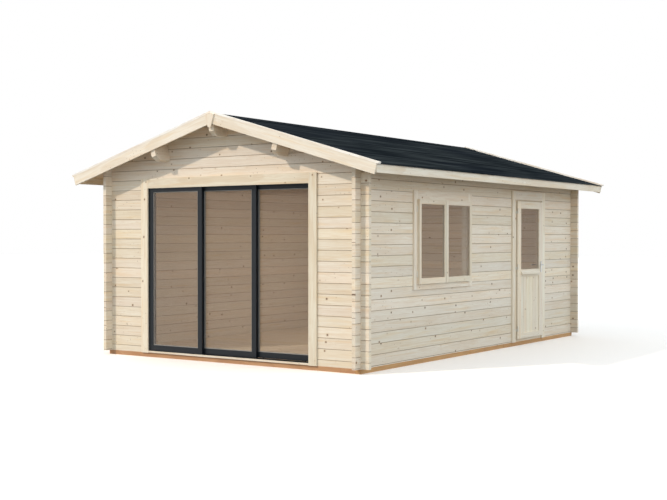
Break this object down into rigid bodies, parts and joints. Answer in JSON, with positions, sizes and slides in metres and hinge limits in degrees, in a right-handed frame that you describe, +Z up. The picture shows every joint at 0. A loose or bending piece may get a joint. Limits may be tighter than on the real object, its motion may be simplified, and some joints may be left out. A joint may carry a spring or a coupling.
{
  "type": "garden house",
  "caption": "Log garden house with a low gable roof, glazed sliding door in the front gable, and a window and half-glazed side door in one long wall.",
  "frame": {"origin": "on the ground, under the middle of the house's outline", "axes": "+X out of the long wall with the window and the side door, -Y out of the gable with the sliding door, +Y towards the rear gable, +Z up"},
  "size_m": [4.3712, 6.032, 2.7905],
  "materials": {
    "log_wood": "pale bare spruce",
    "trim_wood": "planed pale spruce",
    "floor_wood": "planed floor boards",
    "roof_wood": "sawn roof boards",
    "beam_wood": "impregnated orange-brown timber",
    "roofing_felt": "near-black mineral roofing felt",
    "anthracite_aluminium": "anthracite powder coat",
    "glass": "clear float glass",
    "pale_steel": "pale zinc plate",
    "brushed_steel": "brushed grey"
  },
  "bodies": {
    "house": {"apex_shields": "trim_wood", "barge_boards_front": "trim_wood", "barge_boards_rear": "trim_wood", "cover_laths_front": "trim_wood", "cover_laths_rear": "trim_wood", "door_casing": "trim_wood", "door_frame": "trim_wood", "door_hinge_pins": "pale_steel", "eave_fascias": "trim_wood", "end_beams": "beam_wood", "floor_boards": "floor_wood", "floor_joists": "beam_wood", "front_gable": "log_wood", "front_wall_left": "log_wood", "front_wall_right": "log_wood", "left_wall": "log_wood", "rear_wall": "log_wood", "ridge_cap": "roofing_felt", "ridge_purlin": "log_wood", "right_wall_corner": "log_wood", "right_wall_lower": "log_wood", "right_wall_middle": "log_wood", "right_wall_rear": "log_wood", "right_wall_top": "log_wood", "roof_boards_left": "roof_wood", "roof_boards_right": "roof_wood", "roof_felt_left": "roofing_felt", "roof_felt_right": "roofing_felt", "side_beams": "beam_wood", "side_purlins": "log_wood", "sliding_casing": "trim_wood", "sliding_frame": "anthracite_aluminium", "window_casing": "trim_wood", "window_frame": "trim_wood", "window_glass": "glass", "window_hinges": "pale_steel", "window_sashes": "trim_wood"},
    "left_panel": {"sliding_panel_left": "anthracite_aluminium", "sliding_glass_left": "glass"},
    "middle_panel": {"sliding_panel_middle": "anthracite_aluminium", "sliding_glass_middle": "glass"},
    "right_panel": {"sliding_panel_right": "anthracite_aluminium", "sliding_glass_right": "glass"},
    "side_door": {"door_leaf": "trim_wood", "door_glass": "glass", "door_hinge_knuckles": "pale_steel", "door_handle_plates": "brushed_steel"},
    "lever": {"door_lever": "brushed_steel"}
  },
  "joints": [
    {"name": "left_panel_slide", "type": "slide", "parent": "house", "child": "left_panel", "axis": [1, 0, 0], "range_m": [0, 1.502]},
    {"name": "middle_panel_slide", "type": "slide", "parent": "house", "child": "middle_panel", "axis": [1, 0, 0], "range_m": [-0.751, 0.751]},
    {"name": "right_panel_slide", "type": "slide", "parent": "house", "child": "right_panel", "axis": [1, 0, 0], "range_m": [-1.502, 0]},
    {"name": "side_door_hinge", "type": "hinge", "parent": "house", "child": "side_door", "pos_m": [1.855, 0.8865, 1.022], "axis": [0, 0, -1], "range_deg": [0, 105]},
    {"name": "lever_turn", "type": "hinge", "parent": "side_door", "child": "lever", "pos_m": [1.826, 1.608, 1.035], "axis": [1, 0, 0], "range_deg": [0, 40]}
  ]
}
